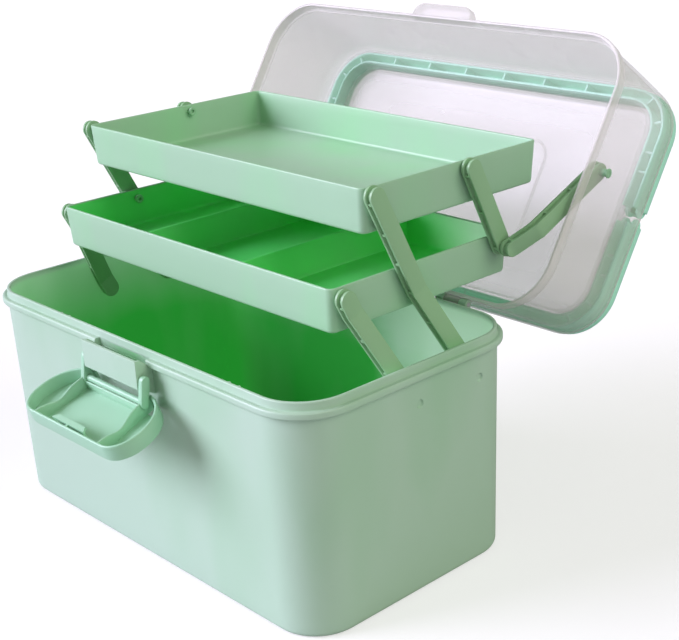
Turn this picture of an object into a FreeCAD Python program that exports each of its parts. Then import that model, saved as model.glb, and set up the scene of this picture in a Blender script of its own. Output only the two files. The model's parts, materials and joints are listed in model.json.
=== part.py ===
import FreeCAD, Part
import math
import os

# Art supply box in millimetres: a tub with two cantilever trays, a clear domed lid that swings open
# at the rear, a two-part carrying handle on the lid and a toggle latch on the front.
# Origin at the centre of the tub's underside, +X to the right, +Y to the rear, +Z up.
# The box is drawn open: the lid is laid back and both trays are lifted forward on their arms.

V = FreeCAD.Vector

# Tub
tub_height = 152.5
tub_top_size = (330.0, 180.5)
tub_top_radius = 33.0
tub_bottom_size = (326.0, 176.0)
tub_bottom_radius = 30.5
tub_wall = 2.6
tub_floor = 3.0
tub_foot_fillet = 4.0
flange_low = 143.0
flange_high = 147.5
flange_reach = 3.5
flange_edge_radius = 1.4
rim_tab_centres = (-70.0, 106.0)
rim_tab_offset = 4.5
rim_tab_half = 0.8
rim_tab_y = (-88.4, -86.8)
rim_tab_low = 147.0
tub_bore_x = (158.0, 163.2)
dimple_x = (164.2, 167.0)
dimple_radius = 2.4

# Lid, given closed, on the tub
lid_angle = 122.5
hinge_y = 96.6
hinge_z = 150.7
hinge_barrel_radius = 3.0
hinge_pin_radius = 1.4
hinge_centre_x = 103.0
hinge_pin_half = 13.8
hinge_bore_half = 15.0
base_knuckle_offset = 10.2
base_knuckle_half = 3.4
lid_knuckle_half = 6.4
knuckle_side_gap = 0.3
knuckle_round_gap = 0.4
lid_low = 148.5
lid_wall_top = 231.0
lid_low_size = (337.4, 187.4)
lid_low_radius = 36.0
lid_top_size = (329.0, 179.0)
lid_top_radius = 33.5
lid_wall = 1.7
lid_inner_draft = 0.8
moat_floor = 221.0
dome_size = (300.8, 154.0)
dome_radius = 22.0
dome_top = 236.5
dome_edge_radius = 4.0
catch_half_width = 27.0
catch_front_y = -102.4
catch_root_y = -90.0
catch_corner = 7.0
catch_low = 149.4
catch_high = 157.4

# Carrying handle, two halves lying in the groove round the lid's top
handle_pivot_y = 5.3
handle_pivot_z = 233.0
handle_top = 238.0
handle_low = 222.0
handle_cap_size = (327.0, 177.0)
handle_cap_radius = 33.0
handle_outer_size = (322.6, 172.6)
handle_outer_radius = 31.0
handle_inner_size = (302.4, 155.6)
handle_inner_radius = 22.4
handle_cap_low = 231.4
handle_wall = 2.0
handle_rib_half = 0.8
handle_rib_rise = 1.5
handle_rib_pitch = 33
handle_ribs_each_way = 4
handle_side_ribs = (20.0, 53.0)
handle_end_x = (151.2, 161.3)
handle_end_radius = 5.0
handle_end_fill = 6.0
handle_end_slot = 2.6
handle_pin_radius = 2.0
handle_pin_x = (148.0, 156.2)

# Trays
tray_top_size = (276.0, 151.7)
tray_bottom_size = (272.6, 149.2)
tray_radius = 5.0
tray_height = 27.5
tray_wall = 2.0
lower_tray_front = -39.8
lower_tray_floor = 174.4
upper_tray_front = -12.4
upper_tray_floor = 226.4
divider_x = 49.0
divider_height = 24.0
divider_half = 0.9
tray_bore_x = (130.0, 142.0)

# Arms and links on the right side, pivots given in the Y-Z plane
front_arm_pivot = (1.5, 127.0)
rear_arm_pivot = (53.3, 127.0)
arm_lean = 26.2
lower_arm_length = 76.0
upper_arm_length = 60.4
tray_pivot_spacing = 80.0
lid_link_pivot = (172.6, 230.0)
lid_link_bend = (113.2, 205.0)
arm_width = 12.5
arm_thickness = 6.0
arm_plate = 1.7
arm_core_inset = 2.0
link_blank_x = (130.0, 170.0)
arm_heel = 9.0
arm_knee = 66.0
tray_side_x = 139.2
tub_side_x = 154.8
lid_link_tray_x = 146.2
lid_link_lid_x = 156.6
lid_link_heel = -2.0
lid_link_knee = 16.7
pin_radius = 2.5
pin_depth = 3.5
pin_head_radius = 3.2
pin_head_thickness = 1.2
tray_pin_tip_x = 132.0
tub_pin_tip_x = 163.0
lid_pin_tip_x = 168.0
running_gap = 0.05

# Latch
latch_tilt = 20.0
latch_half_width = 55.5
latch_near = 3.8
latch_far = 51.0
latch_depth = 11.0
latch_wall = 2.0
latch_corner = 19.0
latch_origin = (-91.0, 128.0)
latch_pivot = (-98.5, 136.7)
latch_pin_radius = 1.8
bracket_half_width = 29.0
bracket_front_y = -102.1
bracket_low = 131.0
bracket_high = 149.0
bracket_wall = 2.2
cheek_outline = [(-102.1, 131.0), (-102.1, 149.0), (-98.5, 149.0), (-92.0, 143.6), (-89.0, 143.6),
                 (-89.0, 124.0), (-93.0, 126.5)]
gusset_outline = [(-100.5, 131.0), (-100.5, 139.0), (-89.0, 135.0), (-89.0, 126.0)]
gusset_x = (-22.0, -20.6)
latch_bar = (11.5, 14.5)
latch_bar_half = 34.0
latch_window_half = 29.0
latch_rib_x = 31.0
latch_rib_half = 1.0
latch_lip = (44.2, 47.4)
latch_lip_half = 16.0
latch_lip_top = 0.0
finger_x = (29.4, 33.4)
finger_radius = 3.0
latch_clear_radius = 20.0
latch_clear_low = 120.0

# Tools cut a little past the faces they go through.
overcut = 1.0


def rounded_wire(size, radius, z, centre_y=0.0):
    """Closed wire of a rounded rectangle in a level plane."""
    half_x = size[0] / 2.0
    half_y = size[1] / 2.0
    k = radius * math.sqrt(0.5)
    edges = []
    corners = [(1, 1), (-1, 1), (-1, -1), (1, -1)]
    for i, (sx, sy) in enumerate(corners):
        cx = sx * (half_x - radius)
        cy = centre_y + sy * (half_y - radius)
        on_side = V(cx + sx * radius, cy, z)
        on_end = V(cx, cy + sy * radius, z)
        middle = V(cx + sx * k, cy + sy * k, z)
        first, last = (on_side, on_end) if i % 2 == 0 else (on_end, on_side)
        edges.append(Part.Arc(first, middle, last).toShape())
    wire_edges = []
    for i, arc in enumerate(edges):
        following = edges[(i + 1) % 4]
        wire_edges.append(arc)
        wire_edges.append(Part.LineSegment(arc.Vertexes[-1].Point, following.Vertexes[0].Point).toShape())
    return Part.Wire(wire_edges)


def tapered_block(low_size, low_radius, low_z, high_size, high_radius, high_z, centre_y=0.0):
    """Solid between two rounded rectangles."""
    low = rounded_wire(low_size, low_radius, low_z, centre_y)
    high = rounded_wire(high_size, high_radius, high_z, centre_y)
    return Part.makeLoft([low, high], True, True)


def straight_block(size, radius, low_z, high_z, centre_y=0.0):
    """Upright solid with a rounded rectangle as its plan."""
    face = Part.Face(rounded_wire(size, radius, low_z, centre_y))
    return face.extrude(V(0, 0, high_z - low_z))


def smaller(size, amount):
    """Rounded rectangle's size with every side moved in by the amount."""
    return (size[0] - 2 * amount, size[1] - 2 * amount)


def box(x0, x1, y0, y1, z0, z1):
    return Part.makeBox(x1 - x0, y1 - y0, z1 - z0, V(x0, y0, z0))


def rod(x0, x1, y, z, radius):
    """Cylinder along X."""
    return Part.makeCylinder(radius, x1 - x0, V(x0, y, z), V(1, 0, 0))


def side_plate(points, x0, x1):
    """Flat plate from an outline in the Y-Z plane, with its faces at x0 and x1."""
    outline = [V(x0, y, z) for y, z in points]
    face = Part.Face(Part.makePolygon(outline + [outline[0]]))
    return face.extrude(V(x1 - x0, 0, 0))


def mirrored(shape):
    """The same shape on the box's other side."""
    return shape.mirror(V(0, 0, 0), V(1, 0, 0))


def both_sides(shape):
    return shape.fuse(mirrored(shape))


def opened(shape):
    """Turn a piece drawn on the closed lid to the laid-back lid."""
    turned = shape.copy()
    turned.rotate(V(0, hinge_y, hinge_z), V(1, 0, 0), -lid_angle)
    return turned


def export(name, shape):
    """Write one sub-part and print its volume."""
    cleaned = shape.removeSplitter()
    if not cleaned.isValid():
        cleaned = shape
    cleaned.exportStep("parts/" + name + ".step")
    print(name, len(cleaned.Solids), "solid(s)", round(cleaned.Volume / 1000.0, 2), "cm3", cleaned.isValid())


def along(start, lean, length):
    """Point at a length from the start on a line that leans forward from upright."""
    angle = math.radians(lean)
    return (start[0] - length * math.sin(angle), start[1] + length * math.cos(angle))


def base_tub():
    """Tub with its flange, latch bracket, hinge knuckles and bores for the arms' pins."""
    tub = tapered_block(tub_bottom_size, tub_bottom_radius, 0.0, tub_top_size, tub_top_radius, tub_height)
    foot = [edge for edge in tub.Edges if edge.BoundBox.ZMax < 0.01]
    tub = tub.makeFillet(tub_foot_fillet, foot)
    hollow = tapered_block(smaller(tub_bottom_size, tub_wall), tub_bottom_radius - tub_wall, tub_floor,
                           smaller(tub_top_size, tub_wall), tub_top_radius - tub_wall, tub_height + overcut)
    flange = straight_block(smaller(tub_top_size, -flange_reach), tub_top_radius + flange_reach,
                            flange_low, flange_high)
    outer = [edge for edge in flange.Edges if edge.BoundBox.ZLength < 0.01]
    flange = flange.makeFillet(flange_edge_radius, outer)
    tub = tub.fuse(flange)
    tub = tub.fuse(latch_bracket())
    for side in (-1, 1):
        for offset in (-base_knuckle_offset, base_knuckle_offset):
            x = side * hinge_centre_x + offset
            tub = tub.fuse(base_knuckle(x - base_knuckle_half, x + base_knuckle_half))
    tub = tub.cut(hollow)
    for x in rim_tab_centres:
        for middle in (x - rim_tab_offset, x + rim_tab_offset):
            tub = tub.fuse(box(middle - rim_tab_half, middle + rim_tab_half, rim_tab_y[0], rim_tab_y[1],
                               rim_tab_low, tub_height))
    for side in (-1, 1):
        x = side * hinge_centre_x
        tub = tub.cut(rod(x - hinge_bore_half, x + hinge_bore_half, hinge_y, hinge_z, hinge_pin_radius))
    bores = []
    for y, z in (front_arm_pivot, rear_arm_pivot):
        bores.append(rod(tub_bore_x[0], tub_bore_x[1], y, z, pin_radius + running_gap))
        bores.append(rod(dimple_x[0], dimple_x[1], y, z, dimple_radius))
    for bore in bores:
        tub = tub.cut(bore)
        tub = tub.cut(mirrored(bore))
    reach = bracket_half_width + overcut
    return tub.cut(rod(-reach, reach, latch_pivot[0], latch_pivot[1], latch_pin_radius + running_gap))


def latch_bracket():
    """Plate held off the front wall by a cheek at each end, open above and below."""
    plate = box(-bracket_half_width, bracket_half_width, bracket_front_y, bracket_front_y + bracket_wall,
                bracket_low, bracket_high)
    cheek = side_plate(cheek_outline, bracket_half_width - bracket_wall, bracket_half_width)
    gusset = side_plate(gusset_outline, gusset_x[0], gusset_x[1])
    return plate.fuse(both_sides(cheek)).fuse(gusset)


def base_knuckle(x0, x1):
    """Hinge barrel on a web that grows out of the tub's flange."""
    barrel = rod(x0, x1, hinge_y, hinge_z, hinge_barrel_radius)
    web = side_plate([(91.0, 143.2), (91.0, 147.3), (hinge_y - 2.2, 147.9), (hinge_y - 2.2, hinge_z),
                      (hinge_y + 3.0, hinge_z), (hinge_y + 2.4, 148.4), (hinge_y - 0.5, 144.2)], x0, x1)
    return barrel.fuse(web)


def lid_shell():
    """Clear lid: a wall, a groove for the handle, a raised top, the catch and two hinge knuckles."""
    outer = tapered_block(lid_low_size, lid_low_radius, lid_low, lid_top_size, lid_top_radius, lid_wall_top)
    top_inset = lid_wall + lid_inner_draft
    inner = tapered_block(smaller(lid_low_size, lid_wall), lid_low_radius - lid_wall, lid_low - overcut,
                          smaller(lid_top_size, top_inset), lid_top_radius - top_inset, moat_floor - lid_wall)
    shell = outer.cut(inner)
    moat = straight_block(smaller(lid_top_size, lid_wall), lid_top_radius - lid_wall,
                          moat_floor, lid_wall_top + overcut)
    dome = straight_block(dome_size, dome_radius, moat_floor - lid_wall, dome_top)
    top_edges = [edge for edge in dome.Edges if edge.BoundBox.ZMin > dome_top - 0.01]
    dome = dome.makeFillet(dome_edge_radius, top_edges)
    dome_hollow = straight_block(smaller(dome_size, lid_wall), dome_radius - lid_wall,
                                 moat_floor - lid_wall - overcut, dome_top - lid_wall)
    shell = shell.cut(moat.cut(dome)).fuse(dome).cut(dome_hollow)
    catch_depth = 2 * (catch_root_y - catch_front_y)
    pad = straight_block((2 * catch_half_width, catch_depth), catch_corner, catch_low, catch_high, catch_root_y)
    shell = shell.fuse(pad.cut(inner))
    for side in (-1, 1):
        x = side * hinge_centre_x
        for middle in (x - base_knuckle_offset, x + base_knuckle_offset):
            half = base_knuckle_half + knuckle_side_gap
            shell = shell.cut(rod(middle - half, middle + half, hinge_y, hinge_z,
                                  hinge_barrel_radius + knuckle_round_gap))
    for side in (-1, 1):
        x = side * hinge_centre_x
        shell = shell.fuse(lid_knuckle(x - lid_knuckle_half, x + lid_knuckle_half).cut(inner))
        shell = shell.cut(rod(x - hinge_bore_half, x + hinge_bore_half, hinge_y, hinge_z,
                              hinge_pin_radius + running_gap))
    link_y, link_z = closed_point(lid_link_pivot)
    bore = rod(tub_bore_x[0], lid_low_size[0] / 2.0 + overcut, link_y, link_z, pin_radius + running_gap)
    shell = shell.cut(bore).cut(mirrored(bore))
    for y in (-handle_pivot_y, handle_pivot_y):
        bore = rod(handle_pin_x[0], dome_size[0] / 2.0, y, handle_pivot_z, handle_pin_radius)
        shell = shell.cut(bore).cut(mirrored(bore))
    return opened(shell)


def lid_knuckle(x0, x1):
    """Hinge barrel on a web that grows out of the lid's rear wall."""
    barrel = rod(x0, x1, hinge_y, hinge_z, hinge_barrel_radius)
    web = side_plate([(91.8, 149.4), (91.8, 162.0), (93.8, 162.0), (hinge_y + 2.5, hinge_z + 1.6),
                      (hinge_y + 3.0, hinge_z), (hinge_y - 2.6, 149.4)], x0, x1)
    return barrel.fuse(web)


def closed_point(point):
    """Where a point of the laid-back lid lies when the lid is closed."""
    angle = math.radians(lid_angle)
    y = point[0] - hinge_y
    z = point[1] - hinge_z
    return (hinge_y + y * math.cos(angle) - z * math.sin(angle),
            hinge_z + y * math.sin(angle) + z * math.cos(angle))


def handle_half(front):
    """One half of the handle: a ribbed channel with rounded ends that turn on the lid's pins."""
    opening = straight_block(handle_inner_size, handle_inner_radius,
                             handle_low - overcut, handle_top + overcut)
    body = straight_block(handle_outer_size, handle_outer_radius, handle_low, handle_top)
    cap = straight_block(handle_cap_size, handle_cap_radius, handle_cap_low, handle_top)
    ring = body.fuse(cap).cut(opening)
    groove = straight_block(smaller(handle_outer_size, handle_wall), handle_outer_radius - handle_wall,
                            handle_low - overcut, handle_top - handle_wall)
    groove = groove.cut(straight_block(smaller(handle_inner_size, -handle_wall),
                                       handle_inner_radius + handle_wall, handle_low - 2 * overcut, handle_top))
    rib_low = handle_low + handle_rib_rise
    half_x = handle_cap_size[0] / 2.0 + overcut
    half_y = handle_cap_size[1] / 2.0 + overcut
    ribs = []
    for i in range(-handle_ribs_each_way, handle_ribs_each_way + 1):
        x = i * handle_rib_pitch
        ribs.append(box(x - handle_rib_half, x + handle_rib_half, half_y / 2.0, half_y, rib_low, handle_top))
    for y in handle_side_ribs:
        rib = box(handle_pin_x[0], half_x, y - handle_rib_half, y + handle_rib_half, rib_low, handle_top)
        ribs.append(rib)
        ribs.append(mirrored(rib))
    for rib in ribs:
        groove = groove.cut(rib)
    ring = ring.cut(groove)
    stop = box(-half_x, half_x, -half_y, handle_pivot_y, handle_low - overcut, handle_top + overcut)
    ring = ring.cut(stop)
    for side in (-1, 1):
        x0, x1 = sorted((side * handle_end_x[0], side * handle_end_x[1]))
        end = rod(x0, x1, handle_pivot_y, handle_pivot_z, handle_end_radius)
        fill = box(x0, x1, handle_pivot_y, handle_pivot_y + handle_end_fill,
                   rib_low + handle_rib_rise, handle_top)
        ring = ring.fuse(end).fuse(fill)
        slot = box(x0 + handle_wall, x1 - handle_wall, handle_pivot_y - handle_end_slot,
                   handle_pivot_y + handle_end_slot, handle_low, handle_pivot_z + handle_end_slot)
        ring = ring.cut(slot)
    hole = rod(handle_pin_x[0], handle_pin_x[1] + 0.3, handle_pivot_y, handle_pivot_z,
               handle_pin_radius + running_gap)
    ring = ring.cut(hole).cut(mirrored(hole))
    if front:
        ring = ring.mirror(V(0, 0, 0), V(0, 1, 0))
    return opened(ring)


def handle_pins():
    """Two stub pins on the right of the lid's raised top, one for each half of the handle."""
    pins = []
    for y in (-handle_pivot_y, handle_pivot_y):
        pins.append(opened(rod(handle_pin_x[0], handle_pin_x[1], y, handle_pivot_z, handle_pin_radius)))
    return pins[0].fuse(pins[1])


def tray(front_y, floor_z, dividers):
    """Open tray with slightly leaning walls."""
    centre_y = front_y + tray_top_size[1] / 2.0
    top_z = floor_z + tray_height
    body = tapered_block(tray_bottom_size, tray_radius, floor_z, tray_top_size, tray_radius, top_z, centre_y)
    hollow = tapered_block(smaller(tray_bottom_size, tray_wall), tray_radius - tray_wall, floor_z + tray_wall,
                           smaller(tray_top_size, tray_wall), tray_radius - tray_wall, top_z, centre_y)
    if dividers:
        for x in (-divider_x, divider_x):
            wall = box(x - divider_half, x + divider_half, front_y, front_y + tray_top_size[1], floor_z,
                       floor_z + divider_height)
            hollow = hollow.cut(wall)
    return body.cut(hollow)


def with_pin_bores(shape, pivots):
    """Cut the running bores of the arms' pins through both side walls."""
    for y, z in pivots:
        bore = rod(tray_bore_x[0], tray_bore_x[1], y, z, pin_radius + running_gap)
        shape = shape.cut(bore).cut(mirrored(bore))
    return shape


def link_blank(points, width):
    """Rounded-end strip through points in the Y-Z plane, thick enough to be trimmed across X."""
    blank = None
    for start, end in zip(points[:-1], points[1:]):
        dy = end[0] - start[0]
        dz = end[1] - start[1]
        length = math.hypot(dy, dz)
        ny = -dz / length * width / 2.0
        nz = dy / length * width / 2.0
        outline = [(start[0] + ny, start[1] + nz), (end[0] + ny, end[1] + nz),
                   (end[0] - ny, end[1] - nz), (start[0] - ny, start[1] - nz)]
        strip = side_plate(outline, link_blank_x[0], link_blank_x[1])
        blank = strip if blank is None else blank.fuse(strip)
    for y, z in points:
        blank = blank.fuse(rod(link_blank_x[0], link_blank_x[1], y, z, width / 2.0))
    return blank.removeSplitter()


def layer(start, end, stations, low, high):
    """Slab across a link: inner face positions along the link, offset from low to high in X."""
    dy = end[0] - start[0]
    dz = end[1] - start[1]
    length = math.hypot(dy, dz)
    uy = dy / length
    uz = dz / length
    lower = [V(x + low, start[0] + uy * s, start[1] + uz * s) for s, x in stations]
    upper = [V(x + high, start[0] + uy * s, start[1] + uz * s) for s, x in reversed(stations)]
    outline = lower + upper
    shift = V(0, -uz * arm_width * 2.0, uy * arm_width * 2.0)
    outline = [p - shift for p in outline]
    face = Part.Face(Part.makePolygon(outline + [outline[0]]))
    return face.extrude(shift * 2.0)


def sandwich(points, stations, start, end):
    """Link made of two plates with a narrower core between them."""
    wide = link_blank(points, arm_width)
    narrow = link_blank(points, arm_width - 2 * arm_core_inset)
    inner = wide.common(layer(start, end, stations, 0.0, arm_plate))
    outer = wide.common(layer(start, end, stations, arm_thickness - arm_plate, arm_thickness))
    core = narrow.common(layer(start, end, stations, arm_plate - 0.01, arm_thickness - arm_plate + 0.01))
    return inner.fuse(core).fuse(outer)


def joggled(low_x, high_x, heel, knee):
    """Stations of a link that runs at low_x up to the heel and at high_x from the knee on."""
    end = lower_arm_length + upper_arm_length + arm_width
    return [(-arm_width, low_x), (heel, low_x), (knee, high_x), (end, high_x)]


def pin_hole(shape, x0, x1, point):
    """Blind hole that holds one end of a pin."""
    return shape.cut(rod(x0, x1, point[0], point[1], pin_radius))


def pin_to_tray(point, inner_x):
    """Pin from an arm's inner plate through the tray's wall, with its snap head inside the tray."""
    shank = rod(tray_pin_tip_x, inner_x + pin_depth, point[0], point[1], pin_radius)
    head = rod(tray_pin_tip_x, tray_pin_tip_x + pin_head_thickness, point[0], point[1], pin_head_radius)
    return shank.fuse(head)


def pin_outward(point, inner_x, tip_x, head):
    """Pin from an arm's outer plate out to the wall of the tub or lid."""
    shank = rod(inner_x + arm_thickness - pin_depth, tip_x, point[0], point[1], pin_radius)
    if head:
        shank = shank.fuse(rod(tip_x, tip_x + pin_head_thickness, point[0], point[1], pin_head_radius))
    return shank


def latch_point(u, w):
    """Point in the latch's own plane: u away from the tub, w above the cup's rim."""
    angle = math.radians(latch_tilt)
    return (latch_origin[0] - u * math.cos(angle) - w * math.sin(angle),
            latch_origin[1] - u * math.sin(angle) + w * math.cos(angle))


def front_latch():
    """Oval cup with two curved ribs, a pull lip, a cross bar and two fingers round the bracket."""
    depth = latch_far - latch_near
    middle = -(latch_near + latch_far) / 2.0
    size = (2 * latch_half_width, depth)
    cup = straight_block(size, latch_corner, -latch_depth, 0.0, middle)
    cup = cup.cut(straight_block(smaller(size, latch_wall), latch_corner - latch_wall,
                                 -latch_depth + latch_wall, overcut, middle))
    window = box(-latch_window_half, latch_window_half, -latch_bar[0], 0.0, -latch_depth - overcut, overcut)
    cup = cup.cut(window)
    bar = box(-latch_bar_half, latch_bar_half, -latch_bar[1], -latch_bar[0], -latch_bar[1] + latch_bar[0], 0.0)
    back = box(-latch_rib_x, latch_rib_x, -latch_bar[0] - latch_wall, -latch_bar[0], -latch_depth, 0.0)
    cup = cup.fuse(bar).fuse(back)
    low = latch_wall / 2.0 - latch_depth
    for side in (-1, 1):
        x = side * latch_rib_x
        cup = cup.fuse(box(x - latch_rib_half, x + latch_rib_half, latch_wall / 2.0 - latch_far, -latch_bar[0],
                           low, 0.0))
    lip = box(-latch_lip_half, latch_lip_half, -latch_lip[1], -latch_lip[0], low, latch_lip_top)
    cup = cup.fuse(lip)
    cup.rotate(V(0, 0, 0), V(1, 0, 0), latch_tilt)
    cup.translate(V(0, latch_origin[0], latch_origin[1]))
    foot_near = latch_point(9.0, -3.0)
    foot_far = latch_point(14.5, -3.0)
    pivot_y, pivot_z = latch_pivot
    outline = [foot_near, (pivot_y + 2.6, pivot_z), (pivot_y, pivot_z + 1.0), (pivot_y - 2.9, pivot_z - 0.6),
               foot_far]
    finger = side_plate(outline, finger_x[0], finger_x[1])
    finger = finger.fuse(rod(finger_x[0], finger_x[1], pivot_y, pivot_z, finger_radius))
    finger = finger.cut(rod(finger_x[0], finger_x[1] - overcut, pivot_y, pivot_z, latch_pin_radius))
    clear_x = finger_x[0] - 0.1
    keep_clear = rod(-clear_x, clear_x, pivot_y, pivot_z, latch_clear_radius)
    front = box(-clear_x, clear_x, bracket_front_y - overcut, 0.0, latch_clear_low, tub_height)
    return cup.fuse(both_sides(finger)).cut(keep_clear.common(front))


def main():
    os.makedirs("parts", exist_ok=True)
    lower_front = along(front_arm_pivot, arm_lean, lower_arm_length)
    lower_middle = along(rear_arm_pivot, arm_lean, lower_arm_length)
    lower_rear = (lower_middle[0] + tray_pivot_spacing, lower_middle[1])
    upper_front = along(lower_middle, arm_lean, upper_arm_length)
    upper_rear = (upper_front[0] + tray_pivot_spacing, upper_front[1])
    print("lower tray pivots", lower_front, lower_middle, lower_rear)
    print("upper tray pivots", upper_front, upper_rear)
    print("lid link pivot when closed", closed_point(lid_link_pivot))

    export("base_tub", base_tub())
    export("lid_shell", lid_shell())
    export("handle_front", handle_half(True))
    export("handle_rear", handle_half(False))
    export("handle_pins_right", handle_pins())
    export("handle_pins_left", mirrored(handle_pins()))
    export("lower_tray", with_pin_bores(tray(lower_tray_front, lower_tray_floor, True),
                                        (lower_front, lower_middle, lower_rear)))
    export("upper_tray", with_pin_bores(tray(upper_tray_front, upper_tray_floor, False),
                                        (upper_front, upper_rear)))
    export("front_latch", front_latch())
    latch_pin = rod(bracket_half_width - bracket_wall, finger_x[1] - overcut, latch_pivot[0], latch_pivot[1],
                    latch_pin_radius)
    export("latch_pins", both_sides(latch_pin))

    stations = joggled(tub_side_x, tray_side_x, arm_heel, arm_knee)
    front_arm = sandwich([front_arm_pivot, lower_front], stations, front_arm_pivot, lower_front)
    front_arm = pin_hole(front_arm, tub_side_x + arm_thickness - pin_depth, link_blank_x[1], front_arm_pivot)
    front_arm = pin_hole(front_arm, link_blank_x[0], tray_side_x + pin_depth, lower_front)
    rear_arm = sandwich([rear_arm_pivot, upper_front], stations, rear_arm_pivot, upper_front)
    rear_arm = pin_hole(rear_arm, tub_side_x + arm_thickness - pin_depth, link_blank_x[1], rear_arm_pivot)
    for point in (lower_middle, upper_front):
        rear_arm = pin_hole(rear_arm, link_blank_x[0], tray_side_x + pin_depth, point)
    straight = joggled(tray_side_x, tray_side_x, arm_heel, arm_knee)
    upper_link = sandwich([lower_rear, upper_rear], straight, lower_rear, upper_rear)
    for point in (lower_rear, upper_rear):
        upper_link = pin_hole(upper_link, link_blank_x[0], tray_side_x + pin_depth, point)
    stations = joggled(lid_link_tray_x, lid_link_lid_x, lid_link_heel, lid_link_knee)
    lid_link = sandwich([lower_rear, lid_link_bend, lid_link_pivot], stations, lower_rear, lid_link_pivot)
    lid_link = pin_hole(lid_link, lid_link_lid_x + arm_thickness - pin_depth, link_blank_x[1], lid_link_pivot)

    pieces = {
        "front_arm": front_arm,
        "rear_arm": rear_arm,
        "upper_link": upper_link,
        "lid_link": lid_link,
        "front_arm_tub_pin": pin_outward(front_arm_pivot, tub_side_x, tub_pin_tip_x, False),
        "rear_arm_tub_pin": pin_outward(rear_arm_pivot, tub_side_x, tub_pin_tip_x, False),
        "front_arm_tray_pin": pin_to_tray(lower_front, tray_side_x),
        "rear_arm_lower_pin": pin_to_tray(lower_middle, tray_side_x),
        "rear_arm_upper_pin": pin_to_tray(upper_front, tray_side_x),
        "upper_link_lower_pin": pin_to_tray(lower_rear, tray_side_x),
        "upper_link_upper_pin": pin_to_tray(upper_rear, tray_side_x),
        "lid_link_pin": pin_outward(lid_link_pivot, lid_link_lid_x, lid_pin_tip_x, True),
    }
    for name, shape in pieces.items():
        export(name + "_right", shape)
        export(name + "_left", mirrored(shape))
    hinge_pin = rod(hinge_centre_x - hinge_pin_half, hinge_centre_x + hinge_pin_half, hinge_y, hinge_z,
                    hinge_pin_radius)
    export("hinge_pin_right", hinge_pin)
    export("hinge_pin_left", mirrored(hinge_pin))


main()
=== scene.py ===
import json
import math

import bpy
import numpy as np
from mathutils import Matrix, Vector


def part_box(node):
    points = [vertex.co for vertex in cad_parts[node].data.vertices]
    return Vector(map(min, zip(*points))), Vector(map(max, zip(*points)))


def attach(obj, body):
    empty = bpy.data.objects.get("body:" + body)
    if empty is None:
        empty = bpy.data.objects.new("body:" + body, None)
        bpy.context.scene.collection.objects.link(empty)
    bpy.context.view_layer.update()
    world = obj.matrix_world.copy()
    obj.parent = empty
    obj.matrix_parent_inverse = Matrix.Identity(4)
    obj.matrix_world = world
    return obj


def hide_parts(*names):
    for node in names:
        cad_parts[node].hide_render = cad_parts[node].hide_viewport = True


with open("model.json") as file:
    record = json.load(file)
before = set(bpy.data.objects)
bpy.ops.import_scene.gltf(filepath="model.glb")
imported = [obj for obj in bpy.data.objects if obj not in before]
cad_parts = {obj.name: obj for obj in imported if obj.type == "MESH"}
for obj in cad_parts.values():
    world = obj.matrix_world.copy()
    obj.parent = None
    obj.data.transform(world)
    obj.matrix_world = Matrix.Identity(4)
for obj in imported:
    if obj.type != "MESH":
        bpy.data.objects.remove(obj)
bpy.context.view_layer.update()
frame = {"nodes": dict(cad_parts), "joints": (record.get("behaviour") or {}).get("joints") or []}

mm = 0.001
joints = {j["name"]: j for j in frame["joints"]}


def jointPoint(name):
    # A joint's place in the Y-Z plane, in millimetres.
    return np.array(joints[name]["pos_m"][1:]) / mm


def nodeBox(name):
    # Lowest and highest corner of a node at rest, in millimetres.
    low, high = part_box(name)
    return np.array(low) / mm, np.array(high) / mm


lidAngle = math.radians(joints["lid_hinge"]["range_deg"][1])
hinge = jointPoint("lid_hinge")


def opened(points):
    # Turns points drawn on the closed lid by the lid's full travel about the hinge, to where they lie at
    # rest.
    out = np.array(points, float)
    y = out[..., 1] - hinge[0]
    z = out[..., 2] - hinge[1]
    out[..., 1] = hinge[0] + y * math.cos(lidAngle) + z * math.sin(lidAngle)
    out[..., 2] = hinge[1] - y * math.sin(lidAngle) + z * math.cos(lidAngle)
    return out


def smoothStep(t):
    # Eases from 0 to 1: 3 t squared less 2 t cubed.
    t = np.clip(t, 0, 1)
    return t * t * (3 - 2 * t)


def unitLoop(cornerSteps=10, sideStations=None):
    # Rounded rectangle as two lists: which corner centre a point belongs to (from -1 to 1 on each axis)
    # and the direction of its radius. A point is sign * (half size - radius) + direction * radius, so the
    # same two lists serve every size. sideStations are places along a side, -1 to 1.
    stations = np.array([0.0] if sideStations is None else sideStations, float)
    turn = np.linspace(0.0, math.pi / 2, cornerSteps + 1)
    signs, directions = [], []
    for quarter in range(4):
        start = quarter * math.pi / 2
        corner = np.array([[1, 1], [-1, 1], [-1, -1], [1, -1]][quarter], float)
        angle = start + turn
        signs.append(np.repeat(corner[None], len(turn), 0))
        directions.append(np.stack([np.cos(angle), np.sin(angle)], 1))
        along = np.array([[-1, 0], [0, -1], [1, 0], [0, 1]][quarter], float)
        side = np.abs(corner * (1 - np.abs(along))) * corner
        signs.append(side[None] + along[None] * stations[:, None])
        facing = start + math.pi / 2
        directions.append(np.repeat(np.array([[math.cos(facing), math.sin(facing)]]), len(stations), 0))
    return np.concatenate(signs), np.concatenate(directions)


def loft(rows, loop, centreY=0.0):
    # Grid of points from rows of (half x, half y, radius, z): each row is the rounded rectangle of that
    # size.
    signs, directions = loop
    table = np.array(rows, float)
    radius = np.maximum(table[:, 2], 0.02)[:, None]
    x = signs[None, :, 0] * (table[:, :1] - radius) + directions[None, :, 0] * radius
    y = signs[None, :, 1] * (table[:, 1:2] - radius) + directions[None, :, 1] * radius + centreY
    z = np.repeat(table[:, 3][:, None], x.shape[1], 1)
    return np.stack([x, y, z], 2)


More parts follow.
